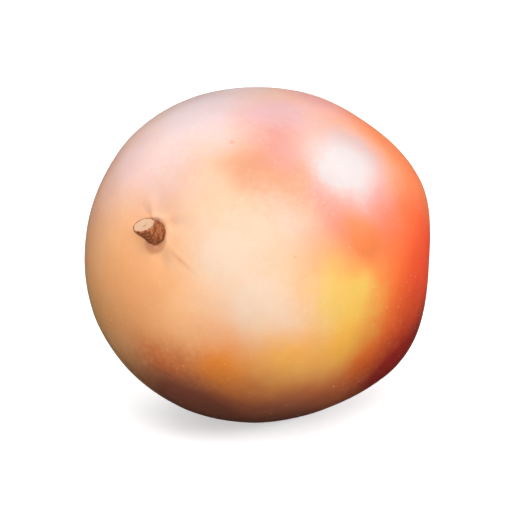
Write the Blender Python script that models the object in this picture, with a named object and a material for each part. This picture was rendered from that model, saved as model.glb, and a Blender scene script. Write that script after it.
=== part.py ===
"""A whole round mango as picked, resting on a small flat spot, with the short woody stub of its stalk.

The fruit lies along X, with its stalk end towards -X and its tip towards +X, and Z is up. The origin is
on the surface that it rests on, under the middle of the whole part's bounding box.
"""
import math

import bmesh
import bpy
from mathutils import Vector

MM = 0.001

# Fruit, half sizes of the rounded form before its flat spot is cut
HALF_LENGTH = 56.0 * MM
HALF_THICKNESS = 48.0 * MM
HALF_HEIGHT = 49.8 * MM
FULLNESS = 0.052          # how much the form swells out between its axes, as a share of its size
TAPER = 0.06              # how much the girth falls from the middle to the tip, as a share
BEND = 1.5 * MM           # how far both ends rise above a straight middle line
FLAT_SPOT_DEPTH = 0.8 * MM
SKIN_SUBDIVISIONS = 5
SKIN_COLOUR = (0.83, 0.42, 0.20)
SKIN_ROUGHNESS = 0.38

# Direction of the stalk from the middle of the fruit: towards -X, well above it and a little to one side
STALK_DIRECTION = Vector((-0.96, 0.05, 0.275)).normalized()

# Low relief of the skin: direction from the middle, height, and reach as an angle
RELIEF = {
    "basin round the stalk": (STALK_DIRECTION, -1.8 * MM, math.radians(11)),
    "beak by the tip": (Vector((1, 0, 0.16)).normalized(), 2.2 * MM, math.radians(15)),
    "sinus over the beak": (Vector((0.80, 0, 0.60)).normalized(), -1.3 * MM, math.radians(17)),
    "full cheek low down": (Vector((0.41, -0.71, -0.58)).normalized(), 4.0 * MM, math.radians(24)),
    "swell above it": (Vector((0.62, -0.71, 0.30)).normalized(), 1.2 * MM, math.radians(16)),
    "flatter side of the top": (Vector((0.53, -0.43, 0.73)).normalized(), -1.0 * MM, math.radians(18)),
    "shoulder behind the stalk": (Vector((-0.55, 0.25, 0.80)).normalized(), 0.8 * MM, math.radians(30)),
}
WAVE_HEIGHT = 0.35 * MM
SHARP_ANGLE = math.radians(40)

# Stub of the stalk: it stands in a blind hole, bends upwards and ends in a slanting cut that faces upwards
STUB_SIDES = 24
STUB_BEND = math.radians(26)
STUB_BEND_START = 0.5 * MM
CUT_SLANT = -math.tan(math.radians(26))
GAP = 0.3 * MM
ROOT_RADIUS = 2.7 * MM
ROOT_DEPTH = 2.7 * MM
STUB_LENGTH = 7.1 * MM
PEG_ABOVE_SKIN = 6 * MM
WOOD_COLOUR = (0.33, 0.16, 0.07)
WOOD_ROUGHNESS = 0.75

# Side of the stub: height above the skin and radius at each ring, from its root to its cut end
STUB_PROFILE = (
    (-ROOT_DEPTH, ROOT_RADIUS),
    (0.5 * MM, ROOT_RADIUS),
    (1.0 * MM, 3.4 * MM),
    (1.8 * MM, 3.2 * MM),
    (3.0 * MM, 2.85 * MM),
    (4.6 * MM, 2.85 * MM),
    (6.0 * MM, 3.1 * MM),
    (6.8 * MM, 3.25 * MM),
    (STUB_LENGTH, 3.1 * MM),
)


def clear_scene():
    """Remove whatever the scene holds, so that the part stands alone."""
    for obj in list(bpy.data.objects):
        bpy.data.objects.remove(obj, do_unlink=True)


def make_material(name, colour, roughness):
    """A Principled material of one colour, with no metal in it."""
    material = bpy.data.materials.new(name)
    material.use_nodes = True
    shader = material.node_tree.nodes["Principled BSDF"]
    shader.inputs["Base Color"].default_value = (*colour, 1)
    shader.inputs["Roughness"].default_value = roughness
    shader.inputs["Metallic"].default_value = 0
    return material


def make_object(name, bm, material=None):
    """Turn a bmesh into a smooth-shaded object with its faces pointing outwards."""
    bmesh.ops.recalc_face_normals(bm, faces=bm.faces)
    mesh = bpy.data.meshes.new(name)
    bm.to_mesh(mesh)
    bm.free()
    mesh.shade_smooth()
    mesh.set_sharp_from_angle(angle=SHARP_ANGLE)
    if material:
        mesh.materials.append(material)
    obj = bpy.data.objects.new(name, mesh)
    bpy.context.scene.collection.objects.link(obj)
    return obj


def skin_point(direction):
    """The point of the skin that lies in a unit direction from the middle of the fruit."""
    x, y, z = direction
    full = 1 + FULLNESS * (1 - (x ** 4 + y ** 4 + z ** 4))
    girth = full * (1 - TAPER * x)
    along = HALF_LENGTH * x * full
    across = HALF_THICKNESS * y * girth
    up = HALF_HEIGHT * z * girth + BEND * x * x
    height = WAVE_HEIGHT * (math.sin(4 * x + 3 * y) + math.sin(5 * z - 2 * x + 1))
    for centre, rise, reach in RELIEF.values():
        height += rise * math.exp(-(direction.angle(centre) / reach) ** 2)
    return Vector((along, across, up)) + direction * height


def stalk_axis():
    """Where the stalk stands on the skin, and the way the skin faces there."""
    x, y, z = STALK_DIRECTION
    outward = Vector((x / HALF_LENGTH, y / HALF_THICKNESS, z / HALF_HEIGHT)).normalized()
    return skin_point(STALK_DIRECTION), outward


def fruit_body():
    """The whole fruit: a ball of triangles moved out to the skin, and cut flat where it rests."""
    bm = bmesh.new()
    bmesh.ops.create_icosphere(bm, subdivisions=SKIN_SUBDIVISIONS, radius=1)
    for vert in bm.verts:
        vert.co = skin_point(vert.co.normalized())
    rest_height = min(vert.co.z for vert in bm.verts) + FLAT_SPOT_DEPTH
    geometry = bm.verts[:] + bm.edges[:] + bm.faces[:]
    bmesh.ops.bisect_plane(bm, geom=geometry, plane_co=(0, 0, rest_height), plane_no=(0, 0, 1),
                           clear_inner=True)
    rim = [edge for edge in bm.edges if edge.is_boundary]
    bmesh.ops.holes_fill(bm, edges=rim, sides=0)
    return make_object("fruit", bm, make_material("skin", SKIN_COLOUR, SKIN_ROUGHNESS))


def stub_hole_cutter():
    """A plain round peg where the stub stands, larger than the stub's root by the gap all round."""
    foot, outward = stalk_axis()
    depth = ROOT_DEPTH + GAP
    reach = depth + PEG_ABOVE_SKIN
    bm = bmesh.new()
    bmesh.ops.create_cone(bm, cap_ends=True, segments=STUB_SIDES, radius1=ROOT_RADIUS + GAP,
                          radius2=ROOT_RADIUS + GAP, depth=reach)
    turn = outward.to_track_quat("Z", "Y").to_matrix()
    for vert in bm.verts:
        vert.co = foot + outward * (reach / 2 - depth) + turn @ vert.co
    cutter = make_object("stub_hole_cutter", bm)
    cutter.hide_render = True
    cutter.display_type = "WIRE"
    return cutter


def cut_hole(obj, cutter):
    """Take the cutter's shape out of an object."""
    cut = obj.modifiers.new("hole for the stub", "BOOLEAN")
    cut.operation = "DIFFERENCE"
    cut.solver = "EXACT"
    cut.object = cutter


def stub_ring(bm, height, radius):
    """One ring of the stub, at a height along its bent middle line."""
    foot, outward = stalk_axis()
    sideways = Vector((0, 0, 1)).cross(outward).normalized()
    upward = outward.cross(sideways)
    curve = STUB_BEND / (STUB_LENGTH - STUB_BEND_START)
    bent = max(0, height - STUB_BEND_START)
    angle = curve * bent
    middle = foot + outward * (min(height, STUB_BEND_START) + math.sin(angle) / curve)
    middle += upward * ((1 - math.cos(angle)) / curve)
    along = outward * math.cos(angle) + upward * math.sin(angle)
    across = upward * math.cos(angle) - outward * math.sin(angle)
    slant = CUT_SLANT * (bent / STUB_LENGTH) ** 3
    ring = []
    for side in range(STUB_SIDES):
        turn = math.tau * side / STUB_SIDES
        offset = across * math.cos(turn) + sideways * math.sin(turn) + along * slant * math.cos(turn)
        ring.append(bm.verts.new(middle + offset * radius))
    return ring


def stalk_stub():
    """The woody stub: rings joined by side walls, with a flat root and a flat cut end."""
    bm = bmesh.new()
    rings = [stub_ring(bm, height, radius) for height, radius in STUB_PROFILE]
    for lower, upper in zip(rings, rings[1:]):
        for side in range(STUB_SIDES):
            after = (side + 1) % STUB_SIDES
            bm.faces.new((lower[side], lower[after], upper[after], upper[side]))
    bm.faces.new(rings[0])
    bm.faces.new(rings[-1])
    return make_object("stem_stub", bm, make_material("stub wood", WOOD_COLOUR, WOOD_ROUGHNESS))


def stand_on_origin(objects, others):
    """Hang every object on one empty, placed so that the part rests on the origin's level."""
    points = [vert.co for obj in objects for vert in obj.data.vertices]
    low = Vector([min(point[axis] for point in points) for axis in range(3)])
    high = Vector([max(point[axis] for point in points) for axis in range(3)])
    middle = (low + high) / 2
    holder = bpy.data.objects.new("mango", None)
    bpy.context.scene.collection.objects.link(holder)
    holder.location = (-middle.x, -middle.y, -low.z)
    for obj in objects + others:
        obj.parent = holder
    return high - low


def main():
    clear_scene()
    fruit = fruit_body()
    stub = stalk_stub()
    cutter = stub_hole_cutter()
    cut_hole(fruit, cutter)
    size = stand_on_origin([fruit, stub], [cutter])
    bpy.context.view_layer.update()
    print("size in mm:", [round(length / MM, 2) for length in size])


main()
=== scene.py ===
# %% [markdown]
# # A whole mango, dressed for its portrait
#
# The solids of this part are already packed: a fruit and the woody stub of its stalk. They have the true
# size and place, but they are coarse and of one colour. This lesson dresses them. It grows a fine skin
# over the fruit with Geometry Nodes, scatters raised pores over it, carves the stub's bark, and paints
# both with procedural materials. Lengths are in metres, +X runs from the stalk end to the tip and +Z is up.

import math

import bmesh
import bpy
from mathutils import Matrix, Vector, noise


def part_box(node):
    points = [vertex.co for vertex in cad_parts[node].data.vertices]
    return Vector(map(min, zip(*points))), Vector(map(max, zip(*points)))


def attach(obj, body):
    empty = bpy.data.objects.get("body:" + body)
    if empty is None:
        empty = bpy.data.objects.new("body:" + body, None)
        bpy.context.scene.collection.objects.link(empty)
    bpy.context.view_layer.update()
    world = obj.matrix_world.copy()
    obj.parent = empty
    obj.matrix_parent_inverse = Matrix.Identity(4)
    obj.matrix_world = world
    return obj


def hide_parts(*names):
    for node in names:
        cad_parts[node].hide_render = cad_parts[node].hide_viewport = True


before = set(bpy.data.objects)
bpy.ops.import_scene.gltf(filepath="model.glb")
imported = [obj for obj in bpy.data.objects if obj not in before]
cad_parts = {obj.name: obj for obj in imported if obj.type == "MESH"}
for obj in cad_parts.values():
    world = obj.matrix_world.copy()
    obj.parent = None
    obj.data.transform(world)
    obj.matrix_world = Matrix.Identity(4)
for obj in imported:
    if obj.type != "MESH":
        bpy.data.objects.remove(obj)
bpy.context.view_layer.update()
MM = 0.001
print("solids:", sorted(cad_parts))

# %% [markdown]
# ## Writing node trees as arithmetic
#
# Both the shape and the colours below are formulas. Wiring a formula by hand takes dozens of nodes, so a
# small class wraps a node's output and lets Python's own operators add the Math nodes. Everything that
# isn't plain arithmetic goes through one method, which makes a node, sets its options first and then
# fills or links its sockets. The same two classes serve Geometry Nodes and materials.


# %% Helpers for node trees
class Wire:
    """One output of a node. Arithmetic on it adds Math nodes to the same tree."""

    def __init__(self, tree, socket):
        self.tree = tree
        self.socket = socket

    def math(self, operation, *others):
        """A Math node whose first input is this wire."""
        return self.tree.node("ShaderNodeMath", {"operation": operation}, dict(enumerate((self, *others))))

    def __add__(self, other):
        return self.math("ADD", other)

    def __sub__(self, other):
        return self.math("SUBTRACT", other)

    def __rsub__(self, other):
        return self * -1 + other

    def __mul__(self, other):
        return self.math("MULTIPLY", other)

    def __truediv__(self, other):
        return self.math("DIVIDE", other)

    def __pow__(self, other):
        return self.math("POWER", other)

    __radd__ = __add__


class Tree:
    """A node tree that nodes are added to by code."""

    def __init__(self, nodes, links):
        self.nodes = nodes
        self.links = links

    def node(self, kind, settings=None, sockets=None, output=0):
        """Add a node: its options are set first, then its sockets get values or links. Returns one output."""
        made = self.nodes.new(kind)
        for name, value in (settings or {}).items():
            setattr(made, name, value)
        for name, value in (sockets or {}).items():
            if isinstance(value, Wire):
                self.links.new(value.socket, made.inputs[name])
            else:
                made.inputs[name].default_value = value
        return Wire(self, made.outputs[output]) if made.outputs else None

    def vector(self, operation, *values, output=0):
        """Vector Math, with output 1 where the answer is a number."""
        return self.node("ShaderNodeVectorMath", {"operation": operation}, dict(enumerate(values)), output)

    def dot(self, first, second):
        """The dot product of two vectors, as a number."""
        return self.vector("DOT_PRODUCT", first, second, output=1)

    def mix(self, factor, under, over, blend="MIX"):
        """One colour laid over another."""
        settings = {"data_type": "RGBA", "blend_type": blend}
        return self.node("ShaderNodeMix", settings, {0: factor, 6: under, 7: over}, 2)

    def smooth(self, value, start, end):
        """0 below start, 1 above end, and a smooth rise between them. It falls if end is below start."""
        low, high = sorted((start, end))
        rise = self.node("ShaderNodeMapRange", {"interpolation_type": "SMOOTHSTEP"},
                         {"Value": value, "From Min": low, "From Max": high})
        return rise if start < end else 1 - rise

    def noise(self, place, size, detail=2.0, roughness=0.5, output=0):
        """Soft noise whose blobs are about size across, in the same unit as place."""
        sockets = {"Vector": place, "Scale": 1 / size, "Detail": detail, "Roughness": roughness}
        return self.node("ShaderNodeTexNoise", {"noise_dimensions": "3D"}, sockets, output)


print("helpers ready")

# %% [markdown]
# ## The form of the fruit
#
# A mango is a plump ball, longer than it is thick, that swells between its axes, tapers to its tip and
# has low relief: a shallow basin round the stalk, a beak by the tip with a dip above it, and one full
# cheek. That is a rule, so Geometry Nodes can grow it: a ball whose poles lie at the stalk and opposite
# it gives each point a direction, and the rule gives that direction its distance. The sizes are the ones
# that the solids were made with, so the fine skin lies on the coarse one.

# %% Sizes of the form
SKIN_SIZES = {
    "Half length": 56.0 * MM,
    "Half thickness": 48.0 * MM,
    "Half height": 49.8 * MM,
    "Fullness": 0.052,
    "Taper": 0.06,
    "Bend": 1.5 * MM,
    "Wave height": 0.35 * MM,
    "Flat spot depth": 0.8 * MM,
    "Cuff height": 0.55 * MM,
    "Pleat depth": 0.16 * MM,
    "Crease depth": 0.05 * MM,
    "Ripple height": 0.5 * MM,
}
STALK_DIRECTION = Vector((-0.96, 0.05, 0.275)).normalized()
HALF_SIZES = Vector([SKIN_SIZES[name] for name in ("Half length", "Half thickness", "Half height")])

# Relief: direction from the middle of the fruit, height, and reach as an angle
RELIEF = {
    "Stalk basin": (STALK_DIRECTION, -1.8 * MM, math.radians(11)),
    "Tip beak": (Vector((1, 0, 0.16)).normalized(), 2.2 * MM, math.radians(15)),
    "Sinus": (Vector((0.80, 0, 0.60)).normalized(), -1.3 * MM, math.radians(17)),
    "Full cheek": (Vector((0.41, -0.71, -0.58)).normalized(), 4.0 * MM, math.radians(24)),
    "Upper swell": (Vector((0.62, -0.71, 0.30)).normalized(), 1.2 * MM, math.radians(16)),
    "Flatter top": (Vector((0.53, -0.43, 0.73)).normalized(), -1.0 * MM, math.radians(18)),
    "Stalk shoulder": (Vector((-0.55, 0.25, 0.80)).normalized(), 0.8 * MM, math.radians(30)),
}
RINGS = 220
MERIDIANS = 224

# The skin's own frame at the stalk: outwards, to one side and upwards
OUTWARD = Vector([part / half for part, half in zip(STALK_DIRECTION, HALF_SIZES)]).normalized()
SIDEWAYS = Vector((0, 0, 1)).cross(OUTWARD).normalized()
UPWARD = OUTWARD.cross(SIDEWAYS)
print("the stalk points towards", [round(part, 3) for part in OUTWARD])


# %% Helpers for Geometry Nodes
def geometry_tree(name, sizes):
    """An empty Geometry Nodes tree with named number inputs. Returns it with its input node."""
    group = bpy.data.node_groups.new(name, "GeometryNodeTree")
    group.interface.new_socket("Geometry", in_out="INPUT", socket_type="NodeSocketGeometry")
    for label, value in sizes.items():
        socket = group.interface.new_socket(label, in_out="INPUT", socket_type="NodeSocketFloat")
        socket.default_value = value
    group.interface.new_socket("Material", in_out="INPUT", socket_type="NodeSocketMaterial")
    group.interface.new_socket("Geometry", in_out="OUTPUT", socket_type="NodeSocketGeometry")
    tree = Tree(group.nodes, group.links)
    start = group.nodes.new("NodeGroupInput")
    return group, tree, {socket.name: Wire(tree, socket) for socket in start.outputs}


def close_tree(tree, shape, material):
    """End a tree as a plain mesh that carries its material."""
    whole = tree.node("GeometryNodeRealizeInstances", None, {"Geometry": shape})
    painted = tree.node("GeometryNodeSetMaterial", None, {"Geometry": whole, "Material": material})
    tree.node("NodeGroupOutput", None, {0: painted})


def grow(name, group, inputs, base=None):
    """Run a tree on a mesh and keep the result as a plain object, with no modifier left on it."""
    host = bpy.data.objects.new(name + " host", base or bpy.data.meshes.new(name + " base"))
    bpy.context.scene.collection.objects.link(host)
    modifier = host.modifiers.new(name, "NODES")
    modifier.node_group = group
    items = group.interface.items_tree
    identifiers = {item.name: item.identifier for item in items if item.in_out == "INPUT"}
    for label, value in inputs.items():
        modifier[identifiers[label]] = value
    evaluated = host.evaluated_get(bpy.context.evaluated_depsgraph_get())
    mesh = bpy.data.meshes.new_from_object(evaluated)
    host.modifiers.remove(modifier)
    bpy.data.objects.remove(host, do_unlink=True)
    mesh.name = name
    mesh.shade_smooth()
    grown = bpy.data.objects.new(name, mesh)
    bpy.context.scene.collection.objects.link(grown)
    return grown


print("geometry helpers ready")

# %% [markdown]
# ## Growing the skin
#
# The tree starts from a ball whose poles are turned to the stalk. For each point it works out the plump
# form, adds the relief as soft hills and hollows, and then the fine things that only the eye needs: a
# raised cuff that hugs the stub, pleats running out from it, and a faint crease down one side. Last it
# presses the lowest part up to one level, the small spot that the fruit rests on.

# %% Places of the fine details, as angles seen from the middle of the fruit
POLE_TURN = STALK_DIRECTION.to_track_quat("Z", "Y").to_euler()
CUFF_ANGLE = 0.082
CUFF_WIDTH = 0.026
PLEAT_ANGLE = 0.15
PLEAT_WIDTH = 0.07
PLEATS = ((5, 0.6, 1.0), (9, 2.1, 0.6))   # how many, their turn in radians, their share of the depth
CREASE_TURN = math.radians(120)
CREASE_WIDTH = 0.012
CREASE_START = (0.11, 0.17)
CREASE_END = (0.38, 0.24)
RIPPLE_SIZE = 0.30
print("turn of the ball's poles in degrees:", [round(math.degrees(part), 1) for part in POLE_TURN])


# %% The tree that shapes the skin
def parts_of(tree, vector):
    """The x, y and z of a vector, as three wires."""
    split = tree.node("ShaderNodeSeparateXYZ", None, {0: vector})
    return [Wire(tree, output) for output in split.socket.node.outputs]


def soft_hill(tree, direction, centre, reach):
    """1 in the hill's direction, falling smoothly to 0 beyond its reach."""
    angle = tree.dot(direction, tuple(centre)).math("ARCCOSINE")
    return ((angle / reach) ** 2 * -1).math("EXPONENT")


def plump_form(tree, given, direction):
    """The point of the plain form in a direction, and the height of the waves there."""
    x, y, z = parts_of(tree, direction)
    full = 1 + given["Fullness"] * (1 - (x ** 4 + y ** 4 + z ** 4))
    girth = full * (1 - given["Taper"] * x)
    along = given["Half length"] * x * full
    across = given["Half thickness"] * y * girth
    height = given["Half height"] * z * girth + given["Bend"] * x * x
    waves = (x * 4 + y * 3).math("SINE") + (z * 5 - x * 2 + 1).math("SINE")
    form = tree.node("ShaderNodeCombineXYZ", None, {0: along, 1: across, 2: height})
    return form, given["Wave height"] * waves


def round_the_stalk(tree, direction):
    """How far a direction lies from the stalk, and its turn about it, both as angles."""
    distance = tree.dot(direction, tuple(STALK_DIRECTION)).math("ARCCOSINE")
    turn = tree.dot(direction, tuple(SIDEWAYS)).math("ARCTAN2", tree.dot(direction, tuple(UPWARD)))
    return distance, turn


def crease_line(tree, distance, turn, width):
    """1 along the crease that runs down from the stalk, and 0 away from it."""
    beside = ((turn - CREASE_TURN) * distance / width) ** 2 * -1
    span = tree.smooth(distance, *CREASE_START) * tree.smooth(distance, *CREASE_END)
    return beside.math("EXPONENT") * span


def stalk_details(tree, given, direction):
    """Height of the cuff, the pleats and the crease, which all start at the stalk."""
    distance, turn = round_the_stalk(tree, direction)
    cuff = (((distance - CUFF_ANGLE) / CUFF_WIDTH) ** 2 * -1).math("EXPONENT")
    ring = (((distance - PLEAT_ANGLE) / PLEAT_WIDTH) ** 2 * -1).math("EXPONENT")
    wide, narrow = [(turn * count + start).math("SINE") * share for count, start, share in PLEATS]
    crease = crease_line(tree, distance, turn, CREASE_WIDTH)
    folds = given["Pleat depth"] * ring * (wide + narrow) + given["Crease depth"] * crease
    return given["Cuff height"] * cuff - folds


def rest_on_spot(tree, given, shaped):
    """Press the lowest part of the skin up to one level."""
    x, y, z = parts_of(tree, tree.node("GeometryNodeInputPosition"))
    lowest = tree.node("GeometryNodeAttributeStatistic", None, {"Geometry": shaped, "Attribute": z}, "Min")
    level = lowest + given["Flat spot depth"]
    pressed = tree.node("ShaderNodeCombineXYZ", None, {0: x, 1: y, 2: z.math("MAXIMUM", level)})
    return tree.node("GeometryNodeSetPosition", None, {"Geometry": shaped, "Position": pressed})


def skin_tree():
    """The whole rule, from a ball to the skin of the fruit."""
    heights = {name + " height": height for name, (_, height, _) in RELIEF.items()}
    group, tree, given = geometry_tree("Mango skin", {**SKIN_SIZES, **heights})
    ball = tree.node("GeometryNodeMeshUVSphere", None,
                     {"Segments": MERIDIANS, "Rings": RINGS, "Radius": 1.0})
    turned = tree.node("GeometryNodeTransform", None, {"Geometry": ball, "Rotation": POLE_TURN})
    direction = tree.vector("NORMALIZE", tree.node("GeometryNodeInputPosition"))
    form, rise = plump_form(tree, given, direction)
    for name, (centre, _, reach) in RELIEF.items():
        rise = rise + given[name + " height"] * soft_hill(tree, direction, centre, reach)
    rise = rise + stalk_details(tree, given, direction)
    rise = rise + given["Ripple height"] * (tree.noise(direction, RIPPLE_SIZE, 1.0) - 0.5)
    outwards = tree.node("ShaderNodeVectorMath", {"operation": "SCALE"}, {0: direction, "Scale": rise})
    place = tree.vector("ADD", form, outwards)
    shaped = tree.node("GeometryNodeSetPosition", None, {"Geometry": turned, "Position": place})
    close_tree(tree, rest_on_spot(tree, given, shaped), given["Material"])
    return group


# %% Grow the skin and lay it on the solid fruit
def box_of(mesh):
    """Lowest and highest corner of a mesh."""
    places = [vert.co for vert in mesh.vertices]
    low = Vector([min(place[axis] for place in places) for axis in range(3)])
    high = Vector([max(place[axis] for place in places) for axis in range(3)])
    return low, high


def lay_on(piece, node):
    """Shift a mesh so that the middle of its box is the middle of the solid's box. Returns the shift."""
    low, high = box_of(piece.data)
    solid_low, solid_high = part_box(node)
    shift = (Vector(solid_low) + Vector(solid_high) - low - high) / 2
    piece.data.transform(Matrix.Translation(shift))
    return shift


skin_paint = bpy.data.materials.new("Waxy mango skin")
skin = grow("mango_skin", skin_tree(), {**SKIN_SIZES, "Material": skin_paint})
MIDDLE = lay_on(skin, "fruit")
skin_low, skin_high = box_of(skin.data)
skin_size = [round(part / MM, 2) for part in skin_high - skin_low]
print("skin:", len(skin.data.polygons), "faces, size in mm:", skin_size)
print("middle of the fruit's form in mm:", [round(part / MM, 2) for part in MIDDLE])

# %% [markdown]
# ## Pores
#
# A mango's skin is dotted with lenticels, small pale corky pores that stand a hair above the skin. They
# follow the surface, so Geometry Nodes scatters them: points no closer than a set distance, closer
# together towards the tip as on the real fruit, each with a flat little dome of twenty faces sunk halfway
# into the skin. A fixed seed gives the same pores every time.

# %% Scatter the pores
PORE_SIZES = {
    "Least distance": 2.7 * MM,
    "Most per square metre": 52000.0,
    "Smallest radius": 0.12 * MM,
    "Largest radius": 0.32 * MM,
    "Height share": 0.22,
}
PORE_SEED = 7
BARE_AROUND_STALK = 0.16
BARE_ABOVE_FLOOR = 2.0 * MM
CROWDING_AT_TIP = 0.35
FACES_PER_DOME = 20


def pore_tree():
    """Domes scattered over whatever skin the tree is given."""
    group, tree, given = geometry_tree("Mango pores", PORE_SIZES)
    place = tree.node("GeometryNodeInputPosition")
    height = parts_of(tree, place)[2]
    direction = tree.vector("NORMALIZE", tree.vector("SUBTRACT", place, tuple(MIDDLE)))
    stalk_distance = round_the_stalk(tree, direction)[0]
    wanted = tree.smooth(height, BARE_ABOVE_FLOOR, 3 * BARE_ABOVE_FLOOR)
    wanted = wanted * tree.smooth(stalk_distance, BARE_AROUND_STALK, 2 * BARE_AROUND_STALK)
    tipwards = parts_of(tree, direction)[0] * CROWDING_AT_TIP + (1 - CROWDING_AT_TIP)
    sockets = {
        "Mesh": given["Geometry"],
        "Distance Min": given["Least distance"],
        "Density Max": given["Most per square metre"],
        "Density Factor": wanted * tipwards,
        "Seed": PORE_SEED,
    }
    points = tree.node("GeometryNodeDistributePointsOnFaces", {"distribute_method": "POISSON"}, sockets)
    upright = Wire(tree, points.socket.node.outputs["Rotation"])
    radius = tree.node("FunctionNodeRandomValue", {"data_type": "FLOAT"},
                       {2: given["Smallest radius"], 3: given["Largest radius"], "Seed": PORE_SEED}, 1)
    dome = tree.node("GeometryNodeMeshIcoSphere", None, {"Radius": 1.0, "Subdivisions": 1})
    flat = radius * given["Height share"]
    scale = tree.node("ShaderNodeCombineXYZ", None, {0: radius, 1: radius, 2: flat})
    domes = tree.node("GeometryNodeInstanceOnPoints", None,
                      {"Points": points, "Instance": dome, "Rotation": upright, "Scale": scale})
    close_tree(tree, domes, given["Material"])
    return group


pore_paint = bpy.data.materials.new("Corky pores")
pores = grow("skin_pores", pore_tree(), {**PORE_SIZES, "Material": pore_paint}, base=skin.data.copy())
pore_faces = len(pores.data.polygons)
print("pores:", pore_faces // FACES_PER_DOME, "domes,", pore_faces, "faces")

# %% [markdown]
# ## The stub of the stalk
#
# Where the fruit was snipped from its tree a short woody stub stays on. It swells where it meets the
# skin, bends upwards and ends in a slanting cut. It is one turned shape, so rings of points built in
# code are the plainest way: each ring takes its radius from a profile, and ridges of bark push it in and
# out. The cut end is closed with smaller rings that dip to the pith. A stored number tells the paint
# where the cut is.

# %% Sizes of the stub
ROOT_DEPTH = 2.7 * MM
ROOT_RADIUS = 2.7 * MM
STUB_LENGTH = 7.1 * MM
STUB_BEND = math.radians(26)
STUB_BEND_START = 0.5 * MM
CUT_SLANT = -math.tan(math.radians(26))
STUB_PROFILE = (
    (-ROOT_DEPTH, ROOT_RADIUS),
    (0.5 * MM, ROOT_RADIUS),
    (1.0 * MM, 3.4 * MM),
    (1.8 * MM, 3.2 * MM),
    (3.0 * MM, 2.85 * MM),
    (4.6 * MM, 2.85 * MM),
    (6.0 * MM, 3.1 * MM),
    (6.8 * MM, 3.25 * MM),
    (STUB_LENGTH, 3.1 * MM),
)
STUB_SIDES = 96
STUB_RINGS = 64
BARK_RIDGE = 0.0175
BARK_START = 1.0 * MM
BARK_GRAIN = 0.10 * MM
GRAIN_ROUND = 3
GRAIN_ALONG = 700

# Ridges of the bark: how many round the stub, their turn in radians, their twist per metre, their share
BARK_WAVES = ((9, 1.3, 0, 1.0), (17, 0, -500, 0.6), (31, 0, 0, 0.4))

# Cut end: share of the rim's radius, and how far each ring lies below the rim
CUT_PROFILE = (
    (0.96, -0.06 * MM),
    (0.92, 0.02 * MM),
    (0.88, 0.16 * MM),
    (0.80, 0.12 * MM),
    (0.66, 0.15 * MM),
    (0.50, 0.11 * MM),
    (0.34, 0.16 * MM),
    (0.20, 0.22 * MM),
    (0.10, 0.45 * MM),
)
print("stub:", STUB_LENGTH / MM, "mm long,", 2 * ROOT_RADIUS / MM, "mm across at its root")


# %% Build the stub
def stub_radius(height):
    """Radius of the plain stub at a height, eased between the profile's points."""
    for (low, start), (high, end) in zip(STUB_PROFILE, STUB_PROFILE[1:]):
        if height <= high:
            share = (height - low) / (high - low)
            return start + (end - start) * share * share * (3 - 2 * share)
    return STUB_PROFILE[-1][1]


def bark(turn, height):
    """How much the bark swells or shrinks the radius there, as a share of it."""
    ridges = 0
    for count, start, twist, share in BARK_WAVES:
        ridges += share * math.sin(count * turn + start + twist * height)
    spot = Vector((GRAIN_ROUND * math.cos(turn), GRAIN_ROUND * math.sin(turn), GRAIN_ALONG * height))
    above_skin = min(1, max(0, height / BARK_START))
    return (BARK_RIDGE * ridges + BARK_GRAIN / ROOT_RADIUS * noise.noise(spot)) * above_skin


def stub_place(turn, height, radius, sink=0.0):
    """A point of the stub, on the ring at a height along its bent middle line."""
    curve = STUB_BEND / (STUB_LENGTH - STUB_BEND_START)
    bent = max(0, height - STUB_BEND_START)
    angle = curve * bent
    middle = OUTWARD * (min(height, STUB_BEND_START) + math.sin(angle) / curve)
    middle += UPWARD * ((1 - math.cos(angle)) / curve)
    along = OUTWARD * math.cos(angle) + UPWARD * math.sin(angle)
    across = UPWARD * math.cos(angle) - OUTWARD * math.sin(angle)
    slant = CUT_SLANT * (bent / STUB_LENGTH) ** 3
    offset = across * math.cos(turn) + SIDEWAYS * math.sin(turn) + along * slant * math.cos(turn)
    return middle + offset * radius - along * sink


def join_rings(bm, lower, upper):
    """A band of faces between two rings of points."""
    for side, (first, other) in enumerate(zip(lower, upper)):
        after = (side + 1) % len(lower)
        bm.faces.new((first, lower[after], upper[after], other))


def build_stub():
    """The stub as one closed mesh, with the share of the way in from the rim stored on its points."""
    bm = bmesh.new()
    into_cut = bm.verts.layers.float.new("into_cut")
    turns = [math.tau * side / STUB_SIDES for side in range(STUB_SIDES)]
    rings = []
    for step in range(STUB_RINGS + 1):
        height = -ROOT_DEPTH + (STUB_LENGTH + ROOT_DEPTH) * step / STUB_RINGS
        radius = stub_radius(height)
        radii = [radius * (1 + bark(turn, height)) for turn in turns]
        rings.append([bm.verts.new(stub_place(turn, height, reach)) for turn, reach in zip(turns, radii)])
    rim = stub_radius(STUB_LENGTH)
    for share, sink in CUT_PROFILE:
        ring = []
        for turn in turns:
            radius = rim * share * (1 + bark(turn, STUB_LENGTH) * share ** 3)
            vert = bm.verts.new(stub_place(turn, STUB_LENGTH, radius, sink))
            vert[into_cut] = 1 - share
            ring.append(vert)
        rings.append(ring)
    for lower, upper in zip(rings, rings[1:]):
        join_rings(bm, lower, upper)
    pith = bm.verts.new(stub_place(0, STUB_LENGTH, 0, CUT_PROFILE[-1][1]))
    pith[into_cut] = 1
    root = bm.verts.new(stub_place(0, -ROOT_DEPTH, 0))
    for side in range(STUB_SIDES):
        after = (side + 1) % STUB_SIDES
        bm.faces.new((rings[-1][side], rings[-1][after], pith))
        bm.faces.new((rings[0][after], rings[0][side], root))
    bmesh.ops.recalc_face_normals(bm, faces=bm.faces)
    mesh = bpy.data.meshes.new("stalk_stub")
    bm.to_mesh(mesh)
    bm.free()
    mesh.shade_smooth()
    made = bpy.data.objects.new("stalk_stub", mesh)
    bpy.context.scene.collection.objects.link(made)
    return made


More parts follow.
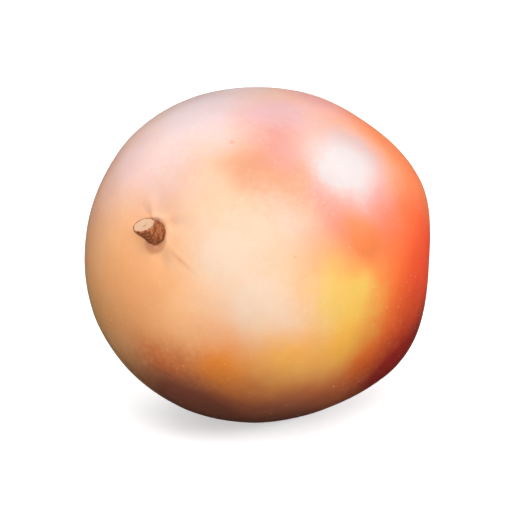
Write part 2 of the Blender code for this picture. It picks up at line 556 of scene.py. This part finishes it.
stub = build_stub()
STUB_FOOT = lay_on(stub, "stem_stub")
foot_place = [round(part / MM, 2) for part in STUB_FOOT]
print("stub:", len(stub.data.polygons), "faces; its foot is at", foot_place)

# %% [markdown]
# ## The colours of the skin
#
# A ripe mango has a yellow-orange ground. Where the sun reached it, it blushes pink to deep red, and a pale
# waxy bloom veils its shoulders. Some patches carry painted light as well: a painted highlight high on the
# sunny side, painted sheen on the shoulders, the left rim and the middle, and painted shade on the
# underside and round the stalk. No two patches have a hard edge: they melt into each other through fine
# speckles. So the paint is a list of patches, each with a direction from the middle of the fruit, a
# reach, a strength and a colour, laid over the ground one after another. A strength above one gives a
# patch an even middle and a firmer edge. Noise bends the directions a little, which makes the edges
# wander. All of it reads Object coordinates, so it stays on the skin from every side.

# %% Patches of colour: direction, reach in degrees, strength and linear colour
GROUND_LIGHT = (0.86, 0.48, 0.23, 1)
GROUND_DEEP = (0.84, 0.40, 0.16, 1)
PATCHES = {
    "golden far cheek": ((0.10, 0.95, 0.10), 50, 0.80, (0.88, 0.50, 0.12)),
    "blush over the back": ((0.45, 0.55, 0.70), 30, 0.75, (0.88, 0.22, 0.10)),
    "yellow-green tip": ((0.98, 0.15, 0.00), 24, 0.60, (0.72, 0.56, 0.12)),
    "rosy shoulder over the tip": ((0.62, -0.05, 0.78), 27, 0.90, (0.92, 0.30, 0.20)),
    # Painted shade on a deeper red-brown skin, under the tip.
    "red-brown under the tip, with painted shade": ((0.52, -0.58, -0.63), 30, 1.0, (0.50, 0.08, 0.03)),
    # Painted sheen in mauve along the left rim.
    "mauve left rim, partly painted sheen": ((-0.60, 0.72, 0.35), 20, 0.80, (0.86, 0.44, 0.30)),
    "rose far rim": ((-0.28, 0.74, 0.61), 15, 1.0, (0.92, 0.54, 0.47)),
    "tan left side": ((-0.97, 0.20, -0.03), 23, 1.0, (0.80, 0.37, 0.15)),
    "honey left of the middle": ((-0.94, -0.25, -0.17), 15, 1.1, (0.93, 0.51, 0.24)),
    "deep orange underside": ((-0.45, -0.35, -0.82), 29, 1.6, (0.72, 0.19, 0.06)),
    "orange sunny side": ((0.06, -0.99, 0.00), 28, 1.8, (0.91, 0.16, 0.03)),
    "pale brow": ((-0.80, 0.02, 0.60), 16, 0.9, (0.67, 0.42, 0.33)),
    "rosy left brow": ((-0.68, 0.38, 0.62), 14, 0.9, (0.80, 0.53, 0.51)),
    # Pale waxy bloom with painted sheen along the upper edges.
    "pale far shoulder, bloom and painted sheen": ((0.08, 0.30, 0.95), 18, 1.3, (0.92, 0.77, 0.81)),
    "pale shoulder, bloom and painted sheen": ((-0.46, 0.10, 0.88), 21, 1.2, (0.75, 0.59, 0.59)),
    "crimson edge": ((0.50, -0.24, 0.83), 12, 1.4, (0.97, 0.25, 0.20)),
    "pink top rim": ((0.15, -0.35, 0.92), 13, 1.1, (0.80, 0.36, 0.33)),
    "pink top": ((-0.30, -0.34, 0.89), 14, 1.2, (0.68, 0.40, 0.41)),
    "orange upper rim": ((0.45, -0.62, 0.62), 19, 1.5, (0.92, 0.22, 0.05)),
    "pink round the bloom": ((-0.32, -0.80, 0.51), 17, 1.8, (0.66, 0.20, 0.15)),
    "peach crown": ((-0.61, -0.50, 0.62), 12, 1.6, (0.60, 0.24, 0.11)),
    "pink over the crown": ((-0.46, -0.46, 0.76), 9, 1.0, (0.61, 0.26, 0.21)),
    # Painted shade with red-brown skin on the underside.
    "red-brown underside, with painted shade": ((-0.42, -0.40, -0.82), 15, 1.4, (0.56, 0.17, 0.09)),
    "red sunny cheek": ((0.42, -0.90, -0.05), 21, 1.25, (0.97, 0.09, 0.028)),
    "orange-red below the yellow": ((-0.20, -0.87, -0.45), 10, 1.2, (0.88, 0.17, 0.03)),
    "yellow cheek": ((-0.47, -0.88, -0.07), 13, 1.4, (0.76, 0.51, 0.11)),
    "amber below the yellow": ((-0.44, -0.84, -0.30), 10, 1.1, (0.91, 0.47, 0.07)),
    # Painted sheen with cream bloom: the broad soft gloss of the front light, painted into the colour.
    "rosy cream, partly painted sheen": ((-0.66, -0.64, 0.39), 9, 0.9, (0.66, 0.45, 0.34)),
    # Painted highlight over a pale bloom: its lavender edge here, and its white core two lines down.
    "lavender bloom and edge of the painted highlight": ((-0.15, -0.71, 0.68), 12, 1.5, (0.57, 0.36, 0.34)),
    "pink under the bloom": ((-0.31, -0.91, 0.27), 9, 1.4, (0.71, 0.18, 0.045)),
    # Painted highlight with pale bloom: the pale core, where the gloss falls high on the sunny side.
    "white bloom and painted highlight": ((-0.26, -0.73, 0.63), 9, 1.9, (0.51, 0.45, 0.44)),
    # Painted sheen with cream bloom, in the middle and by the stalk.
    "cream bloom and painted sheen": ((-0.80, -0.57, -0.07), 14, 1.25, (0.78, 0.59, 0.45)),
    "cream, partly painted sheen, by the stalk": ((-0.87, -0.38, 0.27), 16, 1.1, (0.74, 0.55, 0.41)),
    "orange belly": ((-0.84, -0.33, -0.43), 11, 1.2, (0.94, 0.29, 0.045)),
    "deep orange low left": ((-0.89, 0.03, -0.46), 10, 0.9, (0.82, 0.21, 0.05)),
    "orange low band": ((-0.65, -0.65, -0.39), 12, 1.1, (0.96, 0.47, 0.11)),
    # Painted shade over deep red skin on the low cheek and low edge, and over brown skin on the underside.
    "red low cheek, with painted shade": ((0.19, -0.79, -0.59), 20, 1.25, (0.36, 0.015, 0.012)),
    "dark red low edge, with painted shade": ((0.46, -0.74, -0.49), 14, 0.95, (0.19, 0.015, 0.01)),
    "brown underside, with painted shade": ((-0.64, 0.01, -0.77), 20, 1.5, (0.29, 0.085, 0.05)),
}
# Russet, also used as painted shade round the stub's foot and along the crease.
RUSSET_AND_SHADE = (0.50, 0.17, 0.08, 1)
PORE_TINT = (0.96, 0.78, 0.52, 1)
FLECK_TINT = (0.40, 0.16, 0.06, 1)

# The most that a patch hides of what lies under it, and how its edge wanders and frays
FULL_COVER = 0.98
WANDER_SIZE = 16 * MM
WANDER_REACH = 0.22
SPECKLE_SIZE = 1.6 * MM
SPECKLE_DEPTH = 0.55

# Size of the light and deep blobs of the ground, and how far they blend
GROUND_SIZE = 14 * MM
GROUND_BLEND = (0.35, 0.65)

# Russet and painted shade round the stalk: size of its grains, angles between which it fades,
# how ragged it is, its cover
RUSSET_AND_SHADE_SIZE = 2.5 * MM
RUSSET_AND_SHADE_FADE = (0.088, 0.062)
RUSSET_AND_SHADE_RAGGEDNESS = 0.04
RUSSET_AND_SHADE_COVER = 0.6
print(len(PATCHES), "patches of colour")


# %% Helpers for paints
def open_paint(material):
    """An empty shader tree for a material."""
    material.use_nodes = True
    material.node_tree.nodes.clear()
    return Tree(material.node_tree.nodes, material.node_tree.links)


def close_paint(tree, sockets):
    """End a paint with the Principled shader."""
    shader = tree.node("ShaderNodeBsdfPrincipled", None, sockets)
    tree.node("ShaderNodeOutputMaterial", None, {"Surface": shader})


def object_place(tree):
    """The place of a point on its own object, which is the part's frame here."""
    return tree.node("ShaderNodeTexCoord", None, None, "Object")


def fruit_direction(tree, place):
    """The direction of a point of the skin, seen from the middle of the fruit's form."""
    from_middle = tree.vector("SUBTRACT", place, tuple(MIDDLE))
    return tree.vector("NORMALIZE", tree.vector("DIVIDE", from_middle, tuple(HALF_SIZES)))


def wander(tree, place, vector, size, reach):
    """Push a vector about with soft noise, so that what it shapes gets a wandering edge."""
    push = tree.vector("SUBTRACT", tree.noise(place, size, 2.0, output=1), (0.5, 0.5, 0.5))
    scaled = tree.node("ShaderNodeVectorMath", {"operation": "SCALE"}, {0: push, "Scale": reach})
    return tree.vector("NORMALIZE", tree.vector("ADD", vector, scaled))


def skin_colour(tree, place):
    """The skin's colour at a point, from the ground up to the russet and painted shade at the stalk."""
    direction = fruit_direction(tree, place)
    wandering = wander(tree, place, direction, WANDER_SIZE, WANDER_REACH)
    speckle = (tree.noise(place, SPECKLE_SIZE, 3.0, 0.6) - 0.5) * SPECKLE_DEPTH
    ground = tree.smooth(tree.noise(place, GROUND_SIZE, 3.0), *GROUND_BLEND)
    colour = tree.mix(ground, GROUND_LIGHT, GROUND_DEEP)
    for centre, reach, strength, shade in PATCHES.values():
        nearness = tree.dot(wandering, tuple(Vector(centre).normalized())) - 1
        hill = (nearness * (2 / math.radians(reach) ** 2)).math("EXPONENT") * strength
        mask = hill.math("MINIMUM", FULL_COVER)
        fray = mask * (1 - mask) * speckle * 4
        colour = tree.mix(mask + fray, colour, (*shade, 1))
    # Russet with painted shade in a ring round the stub's foot.
    stalk_distance, turn = round_the_stalk(tree, direction)
    patchy = tree.noise(place, RUSSET_AND_SHADE_SIZE, 3.0)
    russet_and_shade = tree.smooth(stalk_distance + (patchy - 0.5) * RUSSET_AND_SHADE_RAGGEDNESS, *RUSSET_AND_SHADE_FADE)
    colour = tree.mix(russet_and_shade * RUSSET_AND_SHADE_COVER, colour, RUSSET_AND_SHADE)
    # Painted shade along the crease, in the same colour.
    crease = crease_line(tree, stalk_distance, turn, 0.8 * CREASE_WIDTH)
    return tree.mix(crease * patchy * RUSSET_AND_SHADE_COVER, colour, RUSSET_AND_SHADE)


print("paint helpers ready")

# %% [markdown]
# ## The skin's finish
#
# The skin is smooth and waxy: it has a soft sheen all over, a clearer one where the wax lies thick, and
# a faint orange-peel surface that only shows in the highlights. A little light sinks in under the wax, so
# the shader scatters some of it below the surface. Numbers that are the same all over are set on the
# shader itself.


# %% Paint the skin
MOTTLE_SIZE = 5 * MM
MOTTLE_BLEND = (0.30, 0.75)
MOTTLE_COVER = 0.10

# Flat pores besides the raised ones: their spacing, the shares of it between which one fades, their cover
PORE_SPACING = 3.4 * MM
PORE_FADE = (0.12, 0.06)
PORE_COVER = 0.18

# Brown flecks: size of the noise, the part of it that becomes a fleck, and their cover
FLECK_SIZE = 3.6 * MM
FLECK_BLEND = (0.74, 0.80)
FLECK_COVER = 0.30

# Size of the thick and thin places of the wax, and the orange-peel surface
WAX_SIZE = 30 * MM
PEEL_SIZE = 0.9 * MM
PEEL_DEPTH = 0.4 * MM
PEEL_STRENGTH = 0.10


def paint_skin(material):
    """Waxy skin: its colours with mottling, pale pores and flecks, under a sheen that varies."""
    tree = open_paint(material)
    place = object_place(tree)
    colour = skin_colour(tree, place)
    mottle = tree.noise(place, MOTTLE_SIZE, 4.0, 0.6)
    mottled = tree.smooth(mottle, *MOTTLE_BLEND) * MOTTLE_COVER
    colour = tree.mix(mottled, colour, GROUND_LIGHT, "MULTIPLY")
    sockets = {"Vector": place, "Scale": 1 / PORE_SPACING}
    cells = tree.node("ShaderNodeTexVoronoi", {"feature": "F1"}, sockets)
    colour = tree.mix(tree.smooth(cells, *PORE_FADE) * PORE_COVER, colour, PORE_TINT)
    flecks = tree.smooth(tree.noise(place, FLECK_SIZE, 2.0), *FLECK_BLEND)
    colour = tree.mix(flecks * FLECK_COVER, colour, FLECK_TINT)
    wax = tree.noise(place, WAX_SIZE, 2.0)
    peel = tree.noise(place, PEEL_SIZE, 2.0) * 0.6 + mottle * 1.4
    surface = {"Strength": PEEL_STRENGTH, "Distance": PEEL_DEPTH, "Height": peel}
    bump = tree.node("ShaderNodeBump", None, surface)
    close_paint(tree, {
        "Base Color": colour,
        "Roughness": 0.40 + wax * 0.14,
        "Normal": bump,
        "Coat Weight": 0.60 + wax * 0.3,
        "Coat Roughness": 0.30,
        "Subsurface Weight": 0.15,
        "Subsurface Radius": (1.0, 0.35, 0.15),
        "Subsurface Scale": 3.0 * MM,
    })


def paint_pores(material):
    """Corky domes, the colour of the skin round them but paler."""
    tree = open_paint(material)
    place = object_place(tree)
    grain = tree.noise(place, 0.5 * MM, 2.0)
    colour = tree.mix(0.05 + grain * 0.25, skin_colour(tree, place), PORE_TINT)
    close_paint(tree, {"Base Color": colour, "Roughness": 0.45 + grain * 0.2})


paint_skin(skin_paint)
paint_pores(pore_paint)
print("skin paint:", len(skin_paint.node_tree.nodes), "nodes")

# %% [markdown]
# ## The stub's paint
#
# Bark is brown and runs in fibres along the stub, darker in its grooves, with painted shade at its foot,
# where it meets the skin. The cut end is pale wood with faint rings round a dark pith, and the bark shows
# as a thin dark rim. The stored number says how far in from the rim a point lies, so one material paints
# both.

# %% Paint the stub
BARK_LIGHT = (0.48, 0.18, 0.075, 1)
BARK_DARK = (0.20, 0.045, 0.014, 1)
WOOD_LIGHT = (0.66, 0.43, 0.28, 1)
WOOD_DEEP = (0.50, 0.29, 0.17, 1)
PITH = (0.42, 0.23, 0.14, 1)

# Fibres of the bark, and the heights between which painted shade darkens its foot
FIBRE_SIZE = 0.7 * MM
FIBRE_STRETCH = 0.18
FIBRE_BLEND = (0.36, 0.62)
FIBRE_DEPTH = 0.2 * MM
FIBRE_STRENGTH = 0.28
FOOT_SHADE = (2.6 * MM, 0.4 * MM)
FOOT_SHADE_COVER = 0.8

# Cut end: its grain, its rings in radians from rim to middle, where bark turns to wood and wood to pith
CUT_GRAIN_SIZE = 0.4 * MM
RING_SPAN = 34
RING_WAVER = 4
BARK_RIM = (0.06, 0.13)
PITH_EDGE = (0.80, 0.92)


def paint_stub(material):
    """Bark along the side, with painted shade at its foot, and pale wood with rings on the cut end."""
    tree = open_paint(material)
    place = object_place(tree)
    upright = tuple(OUTWARD.to_track_quat("Z", "Y").inverted().to_euler())
    along = tree.node("ShaderNodeMapping", {"vector_type": "POINT"},
                      {"Vector": place, "Rotation": upright, "Scale": (1, 1, FIBRE_STRETCH)})
    fibres = tree.noise(along, FIBRE_SIZE, 4.0, 0.65)
    height = tree.dot(tree.vector("SUBTRACT", place, tuple(STUB_FOOT)), tuple(OUTWARD))
    colour = tree.mix(tree.smooth(fibres, *FIBRE_BLEND), BARK_DARK, BARK_LIGHT)
    # Painted shade at the stub's foot, where it meets the skin.
    colour = tree.mix(tree.smooth(height, *FOOT_SHADE) * FOOT_SHADE_COVER, colour, BARK_DARK)
    into_cut = tree.node("ShaderNodeAttribute", {"attribute_name": "into_cut"}, None, "Fac")
    grain = tree.noise(place, CUT_GRAIN_SIZE, 3.0)
    rings = (into_cut * RING_SPAN + grain * RING_WAVER).math("SINE") * 0.5 + 0.5
    wood = tree.mix(rings * 0.45 + grain * 0.25, WOOD_LIGHT, WOOD_DEEP)
    wood = tree.mix(tree.smooth(into_cut, *PITH_EDGE), wood, PITH)
    colour = tree.mix(tree.smooth(into_cut, *BARK_RIM), colour, wood)
    surface = {"Strength": FIBRE_STRENGTH, "Distance": FIBRE_DEPTH, "Height": fibres}
    bump = tree.node("ShaderNodeBump", None, surface)
    close_paint(tree, {"Base Color": colour, "Roughness": 0.62 + grain * 0.25, "Normal": bump})


stub_paint = bpy.data.materials.new("Bark and cut wood")
paint_stub(stub_paint)
stub.data.materials.append(stub_paint)
print("stub paint:", len(stub_paint.node_tree.nodes), "nodes")

# %% [markdown]
# ## Joining the pieces to the part
#
# Each piece is hung on the body it moves with, and the coarse solids are hidden. A mango has no moving
# parts, so all of them ride on the one body.

# %% Ride on the body, and hide the solids
for piece, finish in ((skin, "skin"), (pores, "skin"), (stub, "stub_wood")):
    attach(piece, "root")
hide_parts("fruit")
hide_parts("stem_stub")
print("pieces:", [piece.name for piece in (skin, pores, stub)])

# %% [markdown]
# ## The studio
#
# The fruit lies on a plain pale floor. Five softboxes light it without showing in its wax: a broad one
# in front and above, a low one on each side of the camera, and two behind that lift the far side out of
# the dark. A sixth gives no light and is only mirrored, as the soft white gloss high on the right. Each
# is placed by its azimuth and elevation round the fruit, and turned to face it. The world is bright
# above and dark below, so that the underside stays in shade. The floor glows faintly, to look as pale
# as paper, and the fruit neither mirrors it nor takes light from it.

# %% Floor, world and softboxes
FLOOR_HALF_WIDTH = 8.0
FLOOR_COLOUR = (0.86, 0.86, 0.86, 1)
FLOOR_GLOW = 0.42
SKY_BELOW = (0.03, 0.024, 0.02, 1)
SKY_ABOVE = (0.44, 0.44, 0.46, 1)
SKY_SEEN = (0.93, 0.93, 0.93, 1)
SKY_BLEND = (-0.3, 0.9)   # upward parts of a direction between which the sky brightens
LIGHT_TARGET = Vector((0, 0, 0.05))


def around(azimuth, elevation, distance):
    """A place round the fruit. Azimuth 0 lies towards -Y and 90 towards +X."""
    turn, rise = math.radians(azimuth), math.radians(elevation)
    flat = math.cos(rise)
    return LIGHT_TARGET + distance * Vector((math.sin(turn) * flat, -math.cos(turn) * flat, math.sin(rise)))


def softbox(name, azimuth, elevation, distance, width, height, power, lights=True, shines=True):
    """A flat lamp that faces the fruit: angles in degrees, sizes in metres and power in watts."""
    lamp = bpy.data.lights.new(name, "AREA")
    lamp.shape = "RECTANGLE"
    lamp.size = width
    lamp.size_y = height
    lamp.energy = power
    box = bpy.data.objects.new(name, lamp)
    box.location = around(azimuth, elevation, distance)
    box.rotation_euler = (box.location - LIGHT_TARGET).to_track_quat("Z", "Y").to_euler()
    box.visible_diffuse = lights
    box.visible_glossy = shines
    bpy.context.scene.collection.objects.link(box)


def lay_floor():
    """The pale floor, as stage and not as part of the object."""
    bm = bmesh.new()
    bmesh.ops.create_grid(bm, x_segments=1, y_segments=1, size=FLOOR_HALF_WIDTH)
    mesh = bpy.data.meshes.new("floor")
    bm.to_mesh(mesh)
    bm.free()
    floor = bpy.data.objects.new("floor", mesh)
    bpy.context.scene.collection.objects.link(floor)
    paint = bpy.data.materials.new("Pale floor")
    close_paint(open_paint(paint), {
        "Base Color": FLOOR_COLOUR,
        "Roughness": 0.8,
        "Emission Color": (1.0, 1.0, 1.0, 1),
        "Emission Strength": FLOOR_GLOW,
    })
    mesh.materials.append(paint)
    floor.visible_diffuse = False
    floor.visible_glossy = False


def light_world():
    """Pale to the eye, and for lighting bright above and dim below."""
    world = bpy.data.worlds.new("Studio")
    world.use_nodes = True
    world.node_tree.nodes.clear()
    tree = Tree(world.node_tree.nodes, world.node_tree.links)
    direction = tree.node("ShaderNodeTexCoord", None, None, "Generated")
    up = tree.smooth(parts_of(tree, direction)[2], *SKY_BLEND)
    sky = tree.mix(up, SKY_BELOW, SKY_ABOVE)
    seen = tree.node("ShaderNodeLightPath", None, None, "Is Camera Ray")
    colour = tree.mix(seen, sky, SKY_SEEN)
    light = tree.node("ShaderNodeBackground", None, {"Color": colour, "Strength": 1.0})
    tree.node("ShaderNodeOutputWorld", None, {"Surface": light})
    bpy.context.scene.world = world


lay_floor()
light_world()
softbox("top front", -43, 42, 1.1, 0.9, 0.9, 6.1, shines=False)
softbox("right fill", 25, 14, 1.0, 0.9, 0.25, 9.2, shines=False)
softbox("left fill", -80, 9, 1.0, 0.7, 0.25, 7.5, shines=False)
softbox("back fill", -165, 60, 1.1, 0.9, 0.7, 4.2, shines=False)
softbox("far fill", 120, 7, 1.1, 0.9, 0.24, 4.5, shines=False)
softbox("highlight", 48, 38, 0.9, 0.75, 0.62, 3.6, lights=False)
bpy.context.scene.view_settings.view_transform = "Standard"
print("lights:", [lamp.name for lamp in bpy.data.lights])

# %% [markdown]
# ## The camera
#
# The camera looks at the fruit mostly from its stalk end, a little from above, as in the photograph, but
# its frame is drawn in so that the one fruit fills it.

# %% Place the camera
CAMERA_AZIMUTH = -58
CAMERA_ELEVATION = 13
CAMERA_DISTANCE = 0.70
HALF_FRAME = 0.110   # half the frame's width, as a share of the distance
FRAME_SHIFT = Vector((-0.9 * MM, -1.35 * MM, 0))

lens = bpy.data.cameras.new("camera")
lens.sensor_width = 36.0
lens.lens = lens.sensor_width / 2 / HALF_FRAME
camera = bpy.data.objects.new("camera", lens)
camera.location = around(CAMERA_AZIMUTH, CAMERA_ELEVATION, CAMERA_DISTANCE)
camera.rotation_euler = (camera.location - LIGHT_TARGET).to_track_quat("Z", "Y").to_euler()
camera.location += camera.rotation_euler.to_matrix() @ FRAME_SHIFT
bpy.context.scene.collection.objects.link(camera)
bpy.context.scene.camera = camera
print("focal length in mm:", round(lens.lens, 1))
